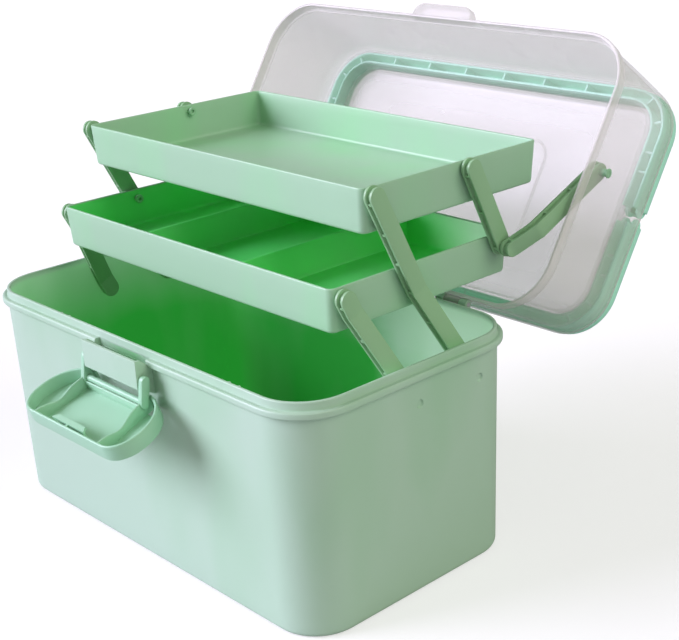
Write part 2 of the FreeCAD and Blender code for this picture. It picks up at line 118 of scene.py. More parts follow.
def gridFaces(rows, columns, closed=True):
    # Quads between neighbouring points of a grid, wrapping round the columns when closed.
    i, j = np.meshgrid(np.arange(rows - 1), np.arange(columns if closed else columns - 1), indexing="ij")
    k = (j + 1) % columns
    quads = np.stack([i * columns + j, i * columns + k, (i + 1) * columns + k, (i + 1) * columns + j], 2)
    return quads.reshape(-1, 4)


def surface(grid, closed=True, caps=(True, True)):
    # Points and faces of one grid, with its first and last rows closed by flat faces.
    rows, columns = grid.shape[:2]
    faces = gridFaces(rows, columns, closed).tolist()
    if caps[0]:
        faces.append(list(range(columns))[::-1])
    if caps[1]:
        faces.append([(rows - 1) * columns + j for j in range(columns)])
    return grid.reshape(-1, 3), faces


def arc(centre, radius, start, end, steps=4):
    # Points (offset, z) on part of a circle, angles in degrees.
    angle = np.radians(np.linspace(start, end, steps + 1))
    return [(centre[0] + radius * c, centre[1] + radius * s) for c, s in zip(np.cos(angle), np.sin(angle))]


def rod(centre, profile, steps=28):
    # Turned piece along X about a Y-Z centre: its profile is a list of (x, radius).
    table = np.array(profile, float)
    angle = np.linspace(0, 2 * math.pi, steps, endpoint=False)
    x = np.repeat(table[:, :1], steps, 1)
    y = centre[0] + table[:, 1:] * np.cos(angle)[None]
    z = centre[1] + table[:, 1:] * np.sin(angle)[None]
    return surface(np.stack([x, y, z], 2))


def slab(outline, low, high, place=lambda a, b, c: (c, a, b)):
    # Flat plate: an outline of (a, b) points between two levels c. place says which axis each one is.
    table = np.array(outline, float)
    layers = [np.stack(place(table[:, 0], table[:, 1], np.full(len(table), c)), 1) for c in (low, high)]
    return surface(np.stack(layers))


def block(x0, x1, y0, y1, z0, z1):
    # Plain rectangular piece of a moulding, whose edges the bevel rounds.
    return slab([(x0, y0), (x1, y0), (x1, y1), (x0, y1)], z0, z1, lambda a, b, c: (a, b, c))


def mirrored(part):
    # The same points and faces on the other side of the box.
    points, faces = part
    return points * np.array([-1.0, 1.0, 1.0]), [f[::-1] for f in faces]


def moved(part, change):
    # Points put through a function, faces kept.
    points, faces = part
    return change(points), faces


def outward(part):
    # Turns a closed part's faces over if its signed volume, the sum of each fan's triple product, is
    # negative.
    points, faces = part
    volume = 0.0
    sizes = np.array([len(f) for f in faces])
    for n in np.unique(sizes):
        table = points[np.array([f for f in faces if len(f) == n])]
        for k in range(1, n - 1):
            volume += np.einsum("ij,ij->i", table[:, 0], np.cross(table[:, k], table[:, k + 1])).sum()
    return part if volume > 0 else (points, [f[::-1] for f in faces])


def makePiece(name, parts, body, material, stands=(), bevel=0.0, sharp=32, turn=None, values=None):
    # Joins parts into one mesh in metres, gives it its material and body, and hides the nodes it stands
    # for.
    points, faces, base = [], [], 0
    for part in parts:
        partPoints, partFaces = outward(part)
        points.append(partPoints)
        faces += [[v + base for v in face] for face in partFaces]
        base += len(partPoints)
    points = np.concatenate(points)
    if turn is not None:
        points = turn(points)
    mesh = bpy.data.meshes.new(name)
    mesh.from_pydata((points * mm).tolist(), [], faces)
    mesh.validate()
    mesh.update()
    mesh.polygons.foreach_set("use_smooth", np.ones(len(mesh.polygons), bool))
    mesh.set_sharp_from_angle(angle=math.radians(sharp))
    for key, numbers in (values or {}).items():
        layer = mesh.attributes.new(key, "FLOAT", "POINT")
        layer.data.foreach_set("value", np.asarray(numbers, np.float32))
    piece = bpy.data.objects.new(name, mesh)
    bpy.context.scene.collection.objects.link(piece)
    mesh.materials.append(material)
    if bevel:
        edges = piece.modifiers.new("roundedEdges", "BEVEL")
        edges.width = bevel * mm
        edges.segments = 2
        edges.limit_method = "ANGLE"
        edges.angle_limit = math.radians(40)
        edges.harden_normals = False
    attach(piece, body)
    if stands:
        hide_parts(*stands)
    return piece


def groupSockets(group, inputs, outputs):
    # Names a node group's sockets and returns its input and output nodes.
    for name, kind, value in inputs:
        socket = group.interface.new_socket(name=name, in_out="INPUT", socket_type=kind)
        socket.default_value = value
    for name, kind in outputs:
        group.interface.new_socket(name=name, in_out="OUTPUT", socket_type=kind)
    return group.nodes.new("NodeGroupInput"), group.nodes.new("NodeGroupOutput")


def mathNode(tree, operation, a, b=None, c=None):
    # One arithmetic node; a, b and c are numbers or sockets.
    node = tree.nodes.new("ShaderNodeMath")
    node.operation = operation
    for socket, value in zip(node.inputs, (a, b, c)):
        if value is None:
            continue
        if isinstance(value, (int, float)):
            socket.default_value = value
        else:
            tree.links.new(value, socket)
    return node.outputs[0]


def noiseNode(tree, vector, scale, detail=3.0, roughness=0.5):
    # Fractal noise on a vector; scale is waves per metre.
    node = tree.nodes.new("ShaderNodeTexNoise")
    tree.links.new(vector, node.inputs["Vector"])
    node.inputs["Scale"].default_value = scale
    node.inputs["Detail"].default_value = detail
    node.inputs["Roughness"].default_value = roughness
    return node.outputs["Fac"]


def mixColour(tree, factor, a, b):
    # Blend of two colours, which are sockets or RGB triples.
    node = tree.nodes.new("ShaderNodeMix")
    node.data_type = "RGBA"
    tree.links.new(factor, node.inputs["Factor"])
    for socket, value in ((node.inputs[6], a), (node.inputs[7], b)):
        if isinstance(value, tuple):
            socket.default_value = (*value, 1.0)
        else:
            tree.links.new(value, socket)
    return node.outputs[2]


def mouldedGroup():
    # Surface of a moulded plastic: a slow tint drift where the melt flowed, a fine spark-eroded grain and
    # a few faint rubs. Height is grain plus drift, roughness is the base plus rubs, colour drifts between
    # two tints, and the Shade input paints shade by pushing it further toward the deeper tint.
    group = bpy.data.node_groups.new("mouldedSurface", "ShaderNodeTree")
    given, put = groupSockets(
        group,
        [("Tint", "NodeSocketColor", (0.5, 0.7, 0.6, 1)),
         ("Deep Tint", "NodeSocketColor", (0.4, 0.6, 0.5, 1)),
         ("Shade", "NodeSocketFloat", 0.0),
         ("Roughness", "NodeSocketFloat", 0.4),
         ("Grain", "NodeSocketFloat", 0.5)],
        [("Colour", "NodeSocketColor"), ("Roughness", "NodeSocketFloat"), ("Height", "NodeSocketFloat")])
    where = group.nodes.new("ShaderNodeTexCoord").outputs["Object"]
    stretch = group.nodes.new("ShaderNodeMapping")
    stretch.inputs["Scale"].default_value = (1.0, 1.0, 0.35)
    group.links.new(where, stretch.inputs["Vector"])
    drift = noiseNode(group, stretch.outputs[0], 14.0, 2.0)
    grain = noiseNode(group, where, 1500.0, 2.0, 0.6)
    rub = group.nodes.new("ShaderNodeMapping")
    rub.inputs["Rotation"].default_value = (0.4, 0.2, 0.7)
    rub.inputs["Scale"].default_value = (1.0, 9.0, 1.0)
    group.links.new(where, rub.inputs["Vector"])
    scuff = noiseNode(group, rub.outputs[0], 60.0, 4.0, 0.7)
    mark = mathNode(group, "MULTIPLY", mathNode(group, "GREATER_THAN", scuff, 0.7), 0.06)
    swing = mathNode(group, "SUBTRACT", drift, 0.5)
    share = mathNode(group, "ADD", mathNode(group, "MULTIPLY", swing, 0.7), given.outputs["Shade"])
    clamp = group.nodes.new("ShaderNodeClamp")
    group.links.new(share, clamp.inputs["Value"])
    colour = mixColour(group, clamp.outputs[0], given.outputs["Tint"], given.outputs["Deep Tint"])
    group.links.new(colour, put.inputs["Colour"])
    rough = mathNode(group, "ADD", given.outputs["Roughness"], mathNode(group, "MULTIPLY", swing, 0.12))
    group.links.new(mathNode(group, "ADD", rough, mark), put.inputs["Roughness"])
    fine = mathNode(group, "MULTIPLY", grain, given.outputs["Grain"])
    broad = mathNode(group, "MULTIPLY", drift, 1.5)
    group.links.new(mathNode(group, "ADD", fine, broad), put.inputs["Height"])
    return group


moulded = mouldedGroup()


def plastic(name, tint, deep, roughness=0.36, grain=0.5, bump=0.05, shadeFrom=None, lift=0.0, density=None,
            paintedGlowFrom=None):
    # Principled plastic fed by the moulded surface. shadeFrom, density and the glow's source name a point
    # attribute of the piece. shadeFrom carries painted shade toward the deeper tint; lift and the glow are
    # painted light, emission in the plastic's own colour, lift even over the piece and the glow by place on
    # it.
    material = bpy.data.materials.new(name)
    material.use_nodes = True
    tree = material.node_tree
    shader = tree.nodes["Principled BSDF"]
    skin = tree.nodes.new("ShaderNodeGroup")
    skin.node_tree = moulded
    skin.inputs["Tint"].default_value = (*tint, 1)
    skin.inputs["Deep Tint"].default_value = (*deep, 1)
    skin.inputs["Roughness"].default_value = roughness
    skin.inputs["Grain"].default_value = grain
    # Painted shade: the attribute pushes the colour toward the deeper tint.
    if shadeFrom:
        reader = tree.nodes.new("ShaderNodeAttribute")
        reader.attribute_name = shadeFrom
        tree.links.new(reader.outputs["Fac"], skin.inputs["Shade"])
    tree.links.new(skin.outputs["Colour"], shader.inputs["Base Color"])
    tree.links.new(skin.outputs["Roughness"], shader.inputs["Roughness"])
    bumpNode = tree.nodes.new("ShaderNodeBump")
    bumpNode.inputs["Strength"].default_value = bump
    bumpNode.inputs["Distance"].default_value = 0.0004
    tree.links.new(skin.outputs["Height"], bumpNode.inputs["Height"])
    tree.links.new(bumpNode.outputs["Normal"], shader.inputs["Normal"])
    shader.inputs["IOR"].default_value = 1.49
    # Painted glow: the piece's own colour given back as even emission.
    if lift:
        tree.links.new(skin.outputs["Colour"], shader.inputs["Emission Color"])
        shader.inputs["Emission Strength"].default_value = lift
    # Painted light: emission in the colour, as strong as the glow attribute at each point.
    if paintedGlowFrom:
        reader = tree.nodes.new("ShaderNodeAttribute")
        reader.attribute_name = paintedGlowFrom
        paintedGlowColour = mixColour(tree, reader.outputs["Fac"], (0.0, 0.0, 0.0), skin.outputs["Colour"])
        tree.links.new(paintedGlowColour, shader.inputs["Emission Color"])
        shader.inputs["Emission Strength"].default_value = 1.0
    if density:
        reader = tree.nodes.new("ShaderNodeAttribute")
        reader.attribute_name = density["attribute"]
        cloud = noiseNode(tree, tree.nodes.new("ShaderNodeTexCoord").outputs["Object"], density["cloud"], 3.0)
        span = density["thick"] - density["thin"]
        cover = mathNode(tree, "MULTIPLY_ADD", reader.outputs["Fac"], span, density["thin"])
        uneven = mathNode(tree, "SUBTRACT", cloud, 0.5)
        alpha = mathNode(tree, "MULTIPLY_ADD", uneven, density["drift"], cover)
        tree.links.new(alpha, shader.inputs["Alpha"])
    return material


def wire(name, tint, roughness):
    # Drawn steel: fine lines round the wire, from noise squeezed along X, in colour and roughness.
    material = bpy.data.materials.new(name)
    material.use_nodes = True
    tree = material.node_tree
    shader = tree.nodes["Principled BSDF"]
    where = tree.nodes.new("ShaderNodeMapping")
    where.inputs["Scale"].default_value = (0.02, 1.0, 1.0)
    tree.links.new(tree.nodes.new("ShaderNodeTexCoord").outputs["Object"], where.inputs["Vector"])
    lines = noiseNode(tree, where.outputs[0], 4000.0, 3.0)
    tree.links.new(mixColour(tree, lines, tint, tuple(0.8 * c for c in tint)), shader.inputs["Base Color"])
    tree.links.new(mathNode(tree, "MULTIPLY_ADD", lines, 0.15, roughness), shader.inputs["Roughness"])
    shader.inputs["Metallic"].default_value = 1.0
    return material


# Each plastic has a tint and a deeper one that a noise drift mixes in; the tub and trays also paint shade
# with it.
tints = {
    "tub": ((0.43, 0.625, 0.47), (0.035, 0.43, 0.055)),
    "tray": ((0.35, 0.585, 0.385), (0.14, 0.88, 0.21)),
    "arm": ((0.28, 0.50, 0.275), (0.23, 0.47, 0.22)),
    "pin": ((0.29, 0.55, 0.33), (0.33, 0.63, 0.38)),
    "latch": ((0.36, 0.65, 0.44), (0.22, 0.60, 0.29)),
    "handle": ((0.37, 0.76, 0.58), (0.29, 0.70, 0.49)),
    "clear": ((0.77, 0.765, 0.715), (0.71, 0.705, 0.665)),
    "steel": (0.62, 0.62, 0.61),
}
clearDensity = {"attribute": "thick", "cloud": 9.0, "thin": 0.26, "thick": 0.62, "drift": 0.06}
tubPlastic = plastic("tubPlastic", *tints["tub"], 0.38, 0.5, 0.06, "inner", paintedGlowFrom="paintedGlow")
trayPlastic = plastic("trayPlastic", *tints["tray"], 0.34, 0.5, 0.05, "inner", paintedGlowFrom="paintedGlow")
armPlastic = plastic("armPlastic", *tints["arm"], 0.40, 0.8, 0.10)
pinPlastic = plastic("pinPlastic", *tints["pin"], 0.32, 0.4, 0.05)
latchPlastic = plastic("latchPlastic", *tints["latch"], 0.32, 0.5, 0.05)
# The handle has a painted glow: 0.11 of its own colour given back as emission.
handlePlastic = plastic("handlePlastic", *tints["handle"], 0.34, 0.5, 0.05, lift=0.11)
clearPlastic = plastic("clearPlastic", *tints["clear"], 0.28, 0.6, 0.08, density=clearDensity)
steel = wire("hingeSteel", tints["steel"], 0.22)
print("materials made")


tub = {"height": 152.5, "topHalf": (165.0, 90.25), "topRadius": 33.0, "bottomHalf": (163.0, 88.0),
       "bottomRadius": 30.5, "wall": 2.6, "floor": 3.0, "foot": 4.0, "flangeLow": 143.0, "flangeHigh": 147.6,
       "flangeReach": 3.5, "floorFillet": 5.0, "dimple": 2.5, "dimpleDepth": 1.1, "slotHalf": 26.9,
       "slotShade": 0.45, "rearGlow": 0.40, "leftGlow": 0.30, "bossRadius": 4.8, "tabX": (-70.0, 106.0)}
bracket = {"half": 29.0, "front": -102.1, "low": 131.0, "high": 149.0, "plate": 2.2}
knuckle = {"radius": 3.0, "tubBore": 1.45, "lidBore": 1.5, "tubHalf": 3.4, "lidHalf": 6.4, "tubOffset": 10.2}


def tubRow(offset, z):
    # Outer wall's rounded rectangle at a height, moved out by the offset. The wall leans evenly from the
    # underside to the rim.
    t = z / tub["height"]
    low, high = np.array(tub["bottomHalf"]), np.array(tub["topHalf"])
    half = low + (high - low) * t + offset
    radius = tub["bottomRadius"] + (tub["topRadius"] - tub["bottomRadius"]) * t + offset
    return (half[0], half[1], radius, z)


def tubProfile():
    # Closed section of the tub's wall as (offset, z), from the underside out, up over the rim and down
    # inside.
    foot, reach, wall = tub["foot"], tub["flangeReach"], tub["wall"]
    low, high, top = tub["flangeLow"], tub["flangeHigh"], tub["height"]
    path = [(-foot - 3.0, 0.0)] + arc((-foot, foot), foot, -90, 0, 8)
    path += [(0.0, z) for z in np.arange(12.0, 118.0, 15.0)]
    path += [(0.0, z) for z in np.arange(122.5, 132.0, 0.55)]
    path += [(0.0, low - 1.4)] + arc((1.2, low - 1.2), 1.2, 180, 90, 3)
    path += arc((reach - 1.1, low + 1.1), 1.1, -90, 0, 4) + arc((reach - 1.3, high - 1.3), 1.3, 0, 90, 5)
    path += [(1.3, high), (0.55, high - 0.35), (-0.05, high), (-0.25, high + 0.7), (-0.3, top - 0.8)]
    path += arc((-0.3 - 0.75, top - 0.75), 0.75, 0, 90, 4) + arc((-wall + 0.75, top - 0.75), 0.75, 90, 180, 4)
    fillet, floor = tub["floorFillet"], tub["floor"]
    path += [(-wall, z) for z in np.arange(148.0, floor + fillet + 5, -9.0)]
    path += arc((-wall - fillet, floor + fillet), fillet, 0, -90, 7)
    path += [(-wall - fillet - 6.0, floor)]
    return path


def tubShell():
    # Lofts the section round the plan. Round each arm pin the outer wall is pressed in: depth times a
    # smooth step of distance from the pin's centre.
    pins = [jointPoint("front_arm_right_pivot"), jointPoint("rear_arm_right_pivot")]
    straight = 57.3
    places = [p[0] + d for p in pins for d in np.arange(-3.3, 3.4, 0.55)] + list(np.arange(-52.0, 53.0, 13.0))
    stations = sorted(set(np.round([y / straight for y in places], 5)))
    gap = tub["slotHalf"] / (tub["topHalf"][0] - tub["topRadius"])
    stations = [s for s in stations + [-gap, gap, -gap - 0.003, gap + 0.003] if abs(s) < 0.99]
    loop = unitLoop(14, sorted(stations))
    path = tubProfile()
    grid = loft([tubRow(o, z) for o, z in path], loop)
    wall = loft([tubRow(min(o, 0.0), z) for o, z in path], loop)
    slot = (np.abs(grid[..., 0]) < tub["slotHalf"] + 0.1) & (grid[..., 1] < -85)
    flange = np.array([o > 0 and z >= tub["flangeLow"] - 0.1 for o, z in path])[:, None]
    grid = np.where((slot & flange)[..., None], wall, grid)  # no flange behind the latch bracket
    rim = next(i for i, (o, z) in enumerate(path) if z >= tub["flangeLow"])
    outside = (np.arange(len(path)) < rim)[:, None]
    for y, z in pins:
        away = np.hypot(grid[..., 1] - y, grid[..., 2] - z)
        press = tub["dimpleDepth"] * smoothStep((tub["dimple"] + 0.3 - away) / 0.6) * outside
        grid[..., 0] -= np.sign(grid[..., 0]) * press * (np.abs(grid[..., 0]) > 150)
    inner = np.zeros(grid.shape[:2])
    # Painted shade on the wall in the slot behind the latch bracket.
    behind = (np.abs(grid[..., 0]) < 26.8) & (grid[..., 1] < -85) & (grid[..., 2] > 128)
    inner[behind & (grid[..., 2] < 147)] = tub["slotShade"]
    # Inside, painted shade deepens the tint with depth, and painted light turns it pale toward the rear
    # right, where light comes in.
    inside = next(i for i, (o, z) in enumerate(path) if o <= -tub["wall"] + 0.01 and z < 149 and i > 20)
    x, z = grid[inside:, :, 0], grid[inside:, :, 2]
    depth = (tub["height"] - z) / tub["height"]
    lit = smoothStep((x + 0.8 * (z - 105) - 15) / 55)
    inner[inside:] = np.clip(0.35 + 1.6 * depth, 0, 0.95) * (1 - 0.95 * lit)
    # Painted light: a glow in the plastic's colour toward the rear right, weaker with depth, and another at
    # the far left.
    paintedGlow = np.zeros(grid.shape[:2])
    paintedGlow[inside:] = tub["rearGlow"] * smoothStep((x - 20) / 80) * (1 - 0.6 * depth)
    paintedGlow[inside:] += tub["leftGlow"] * (1 - smoothStep((x + 120) / 50))
    return surface(grid), inner.ravel(), paintedGlow.ravel()


def barrel(x, half, bore):
    # Hinge knuckle: a turned ring with eased edges about the hinge line.
    r = knuckle["radius"]
    return rod(hinge, [(x - half, bore), (x - half, r - 0.4), (x - half + 0.4, r), (x + half - 0.4, r),
                       (x + half, r - 0.4), (x + half, bore)])


def hingeMiddle():
    # Middle of the right hinge pin along X.
    low, high = nodeBox("hinge_pin_right")
    return (low[0] + high[0]) / 2


def tubTrims():
    # Bracket for the latch, hinge knuckles, rim tabs and the pin bosses inside the side walls.
    half, front, low, high, t = (bracket[k] for k in ("half", "front", "low", "high", "plate"))
    cheek = [(front + 0.8, low + 0.1), (front + 0.8, high - 0.1), (-98.5, high - 0.1), (-92.0, 143.6),
             (-88.5, 143.6), (-88.5, 124.0), (-93.0, 126.5)]
    parts = [block(-half, half, front, front + t, low, high)]
    parts += [slab(cheek, *sides) for sides in ((-half + 0.05, -half + t), (half - t, half - 0.05))]
    parts.append(slab([(-100.5, low), (-100.5, low + 8.0), (-89.0, 135.0), (-89.0, 126.0)], -22.0, -20.6))
    edge = knuckle["tubHalf"]
    web = [(91.0, 143.4), (91.0, 147.3), (94.3, 147.9), (94.4, 150.6), (99.5, 150.4), (98.9, 148.4),
           (96.0, 144.4)]
    for side in (-1, 1):
        for offset in (-knuckle["tubOffset"], knuckle["tubOffset"]):
            x = side * hingeMiddle() + offset
            parts.append(barrel(x, edge, knuckle["tubBore"]))
            parts.append(slab(web, x - edge + 0.2, x + edge - 0.2))
    for x in tub["tabX"]:
        for offset in (-4.5, 4.5):
            parts.append(block(x + offset - 0.8, x + offset + 0.8, -88.6, -86.7, 146.5, 152.2))
    r = tub["bossRadius"]
    for name in ("front_arm_right_pivot", "rear_arm_right_pivot"):
        boss = rod(jointPoint(name), [(160.9, 2.7), (160.95, r - 0.6), (161.3, r - 0.2), (162.6, r)])
        parts += [boss, mirrored(boss)]
    return parts


shell, innerShade, paintedGlow = tubShell()
makePiece("tub_shell", [shell], "base", tubPlastic, ["base_tub"],
          values={"inner": innerShade, "paintedGlow": paintedGlow})
makePiece("tub_fittings", tubTrims(), "base", tubPlastic, bevel=0.35)
print("tub made")


lid = {"low": 148.5, "wallTop": 231.0, "lowHalf": (168.7, 93.7), "lowRadius": 36.0, "topHalf": (164.5, 89.5),
       "topRadius": 33.5, "wall": 1.7, "moat": 221.0, "domeHalf": (150.4, 77.0), "domeRadius": 22.0,
       "domeTop": 236.5, "band": 7.5, "proud": 1.5, "padHalf": (66.0, 42.0), "padRadius": 15.0,
       "padStep": 0.9}


def lidRow(offset, z):
    # The lid's outer wall at a height, moved out by the offset.
    t = (z - lid["low"]) / (lid["wallTop"] - lid["low"])
    low, high = np.array(lid["lowHalf"]), np.array(lid["topHalf"])
    half = low + (high - low) * t + offset
    radius = lid["lowRadius"] + (lid["topRadius"] - lid["lowRadius"]) * t + offset
    return (half[0], half[1], radius, z)


def plainRow(half, radius, offset, z):
    # A rounded rectangle moved out by the offset.
    return (half[0] + offset, half[1] + offset, radius + offset, z)


def lidShell():
    # Closed skin of the lid: from the middle of the top out over the panel, the dome's edge, the groove
    # for the handle and the outer wall, round the rim band, and back the same way inside, one wall lower.
    w, moat, top = lid["wall"], lid["moat"], lid["domeTop"]
    step, band, proud, low = lid["padStep"], lid["band"], lid["proud"], lid["low"]
    rows, thick = [], []

    def dome(offset, z):
        return plainRow(lid["domeHalf"], lid["domeRadius"], offset, z)

    def pad(offset, z):
        return plainRow(lid["padHalf"], lid["padRadius"], offset, z)

    def add(items, value=0.0):
        rows.extend(items)
        thick.extend([value] * len(items))

    add([pad(-8, top - step), pad(-1.0, top - step)])
    add([pad(-0.5, top - step + 0.1), pad(0.3, top - 0.1), pad(0.9, top)], 0.25)
    add([dome(-12.0, top), dome(-5.0, top)])
    add([dome(*p) for p in arc((-4.0, top - 4.0), 4.0, 90, 0, 6)], 0.3)
    add([dome(0.0, z) for z in (229.0, 226.0)], -0.3)
    add([dome(*p) for p in arc((1.5, moat + 1.5), 1.5, 180, 270, 4)], -0.4)
    add([lidRow(-w - 5.0, moat), lidRow(-w - 1.4, moat)], -0.3)
    add([lidRow(-w - 0.4, moat + 0.4), lidRow(-w, moat + 1.4)], -0.3)
    add([lidRow(-w, 226.0), lidRow(-w, 230.2)], 0.1)
    add([lidRow(*p) for p in arc((-w / 2, 230.2), w / 2 - 0.05, 180, 0, 6)], 0.5)
    add([lidRow(0, 228.0), lidRow(0, 224.0), lidRow(-0.05, 215.0), lidRow(-0.4, 195.0), lidRow(-0.9, 178.0)])
    add([lidRow(-proud, low + band + 3.0), lidRow(-proud, low + band + 0.6)])
    add([lidRow(*p) for p in arc((-0.9, low + band - 0.3), 0.85, 90, 0, 4)], 0.6)
    add([lidRow(0, low + 3.5), lidRow(0, low + 0.9), lidRow(-0.25, low + 0.3), lidRow(-0.8, low)], 0.8)
    add([lidRow(-1.5, low), lidRow(-2.0, low + 0.3), lidRow(-2.1, low + 0.9)], 0.8)
    add([lidRow(-2.1, low + band - 2.0), lidRow(-2.4, low + band - 0.8), lidRow(-3.1, low + band - 0.3)], 0.6)
    add([lidRow(-3.2, low + band + 1.0), lidRow(-0.9 - w, 178.0), lidRow(-0.4 - w, 195.0)])
    add([lidRow(-w - 0.3, 212.0)])
    add([lidRow(*p) for p in arc((-w - 2.6, moat - w - 2.3), 2.3, 0, 90, 5)], -0.3)
    add([dome(2.5, moat - w), dome(0.2, moat - w), dome(-w * 0.75, moat - w + 0.5)], -0.4)
    add([dome(-w, moat - w + 1.4), dome(-w, 226.0), dome(-w, top - w - 3.0)], -0.1)
    add([dome(*p) for p in arc((-w - 2.5, top - w - 2.5), 2.5, 0, 90, 5)], 0.3)
    add([dome(-12.0, top - w), pad(0.9, top - w)])
    add([pad(0.3, top - w - 0.1), pad(-0.5, top - step - w + 0.1)], 0.25)
    add([pad(-1.0, top - step - w), pad(-8, top - step - w)])
    grid = loft(rows, unitLoop(14, np.linspace(-0.9, 0.9, 7)))
    return surface(grid), np.repeat(np.array(thick), grid.shape[1])


catch = {"half": 27.5, "root": -92.0, "front": -102.6, "low": 149.3, "high": 157.6, "corner": 8.0}


def catchTab():
    # Ledge on the rim's front that the latch closes over: a plan with round outer corners, carried up the
    # rim band with a rounded top edge and bottom edge.
    half, root, front, low, high, radius = catch.values()
    turn = np.radians(np.linspace(0, 90, 9))
    corner = np.stack([half - radius * (1 - np.cos(turn)), front + radius * (1 - np.sin(turn))], 1)
    right = np.concatenate([[[half + 0.6, root]], corner])
    plan = np.concatenate([right, (right * np.array([-1, 1]))[::-1]])
    middle = np.array([0.0, (root + front) / 2])
    rows = []
    for z, inset in ((low, 1.0), (low + 0.2, 0.4), (low + 0.8, 0.0), (high - 2.0, 0.0), (high - 0.8, 0.4),
                     (high - 0.2, 1.1), (high, 2.4)):
        shrunk = plan + np.sign(middle - plan) * inset * np.array([0.9, 1.0])
        shrunk[[0, -1], 1] = root
        rows.append(np.column_stack([shrunk, np.full(len(plan), z)]))
    return surface(np.stack(rows))


def lidKnuckles():
    # Hinge barrels on webs that grow out of the lid's rear wall.
    edge = knuckle["lidHalf"]
    web = [(92.0, 149.4), (92.0, 162.0), (93.2, 162.0), (98.9, 152.4), (99.4, 150.8), (94.2, 149.4)]
    parts = []
    for x in (-hingeMiddle(), hingeMiddle()):
        parts.append(barrel(x, edge, knuckle["lidBore"]))
        parts.append(slab(web, x - edge + 0.2, x + edge - 0.2))
    return parts


shell, thickness = lidShell()
tab = catchTab()
knuckles = lidKnuckles()
extra = sum(len(p[0]) for p in [tab] + knuckles)
makePiece("lid_shell_clear", [shell, tab] + knuckles, "lid", clearPlastic, ["lid_shell"],
          turn=opened, values={"thick": np.concatenate([thickness, np.full(extra, 0.25)])})
print("lid made")


handle = {"outerHalf": (161.3, 86.3), "outerRadius": 31.0, "innerHalf": (151.2, 77.8), "innerRadius": 22.4,
          "low": 222.2, "top": 237.9, "capLow": 231.5, "lip": -0.2, "wall": 0.19, "end": 5.3, "pivotZ": 233.0,
          "ribStart": -104.4, "ribPitch": 38.3, "ribs": 6, "sideRibs": (30.0, 44.0),
          "cornerRibs": (22.0, 62.0), "ribHalf": 0.8, "endRadius": 4.9}


def handleRow(f, z):
    # Rounded rectangle a share f of the way from the handle's outer face to its inner face.
    outer, inner = np.array(handle["outerHalf"]), np.array(handle["innerHalf"])
    half = outer + (inner - outer) * f
    return (half[0], half[1], handle["outerRadius"] + (handle["innerRadius"] - handle["outerRadius"]) * f, z)


def handleHalf():
    # Channel, open below, carried round half of the plan: every row of the section is a half loop that
    # starts and ends beside the pivots.
    w, low, top, lip = handle["wall"], handle["low"], handle["top"], handle["lip"]
    cap = handle["capLow"]
    section = [(0.0, low + 0.3), (0.03, low), (w - 0.03, low), (w, low + 0.3), (w, top - 3.0),
               (w + 0.06, top - 2.2), (0.94 - w, top - 2.2), (1 - w, top - 3.0), (1 - w, low + 0.3),
               (1.03 - w, low), (0.97, low), (1.0, low + 0.3), (1.0, top - 1.5), (0.96, top - 0.5),
               (0.86, top), (lip + 0.16, top), (lip + 0.05, top - 0.4), (lip, top - 1.4), (lip, cap + 0.5),
               (lip + 0.05, cap), (-0.02, cap), (0.0, cap - 0.3)]
    grid = loft([handleRow(f, z) for f, z in section], unitLoop(14, np.linspace(-0.94, 0.94, 9)))
    half = grid[:, grid[0, :, 1] > handle["end"] + 0.5]
    half = half[:, np.argsort(np.arctan2(half[0, :, 1], half[0, :, 0]))]
    start = half[:, :1].copy()
    start[..., 1] = handle["end"] + 0.1
    start[..., 0] = np.array([handleRow(f, z)[0] for f, z in section])[:, None]
    finish = start * np.array([-1.0, 1.0, 1.0])
    half = np.concatenate([start, half, finish], 1).transpose(1, 0, 2)
    return surface(half)


def handleParts():
    # The channel, its cross ribs and its rounded ends round the pivot pins.
    parts = [handleHalf()]
    low, top, thin = handle["low"] + 1.6, handle["top"] - 1.8, handle["ribHalf"]
    (ox, oy), (ix, iy) = handle["outerHalf"], handle["innerHalf"]
    outerR, innerR = handle["outerRadius"], handle["innerRadius"]
    for i in range(handle["ribs"]):
        x = handle["ribStart"] + handle["ribPitch"] * i
        parts.append(block(x - thin, x + thin, iy + thin, oy - thin, low, top))
    for side in (-1, 1):
        for y in handle["sideRibs"]:
            x0, x1 = sorted((side * (ix + thin), side * (ox - thin)))
            parts.append(block(x0, x1, y - thin, y + thin, low, top))
        for angle in np.radians(handle["cornerRibs"]):
            d = np.array([side * math.cos(angle), math.sin(angle)])
            n = np.array([-d[1], d[0]]) * thin
            a = np.array([side * (ix - innerR), iy - innerR]) + d * (innerR + thin)
            b = np.array([side * (ox - outerR), oy - outerR]) + d * (outerR - thin)
            parts.append(slab([a - n, b - n, b + n, a + n], low, top, lambda p, q, c: (p, q, c)))
    y, z, r = handle["end"], handle["pivotZ"], handle["endRadius"]
    angle = np.radians(np.linspace(90, 270, 13))
    outline = [(y + 3.0, z + r)] + [(y + r * c, z + r * s) for c, s in zip(np.cos(angle), np.sin(angle))]
    outline += [(y + 2.0, z - r), (y + 3.0, z - r + 1.0)]
    for x0, x1 in ((151.3, 153.3), (159.3, 161.2)):
        cheek = slab(outline, x0, x1)
        parts += [cheek, mirrored(cheek)]
    roof = slab([(y + 3.0, z + r), (y, z + r), (y - 3.4, z + 3.5), (y - 2.6, z + 2.4), (y + 0.2, z + r - 1.9),
                 (y + 3.0, z + r - 1.9)], 151.4, 161.1)
    parts += [roof, mirrored(roof)]
    return parts


def flipped(part):
    # The rear half's points and faces made into the front half's.
    points, faces = part
    return points * np.array([1.0, -1.0, 1.0]), [f[::-1] for f in faces]


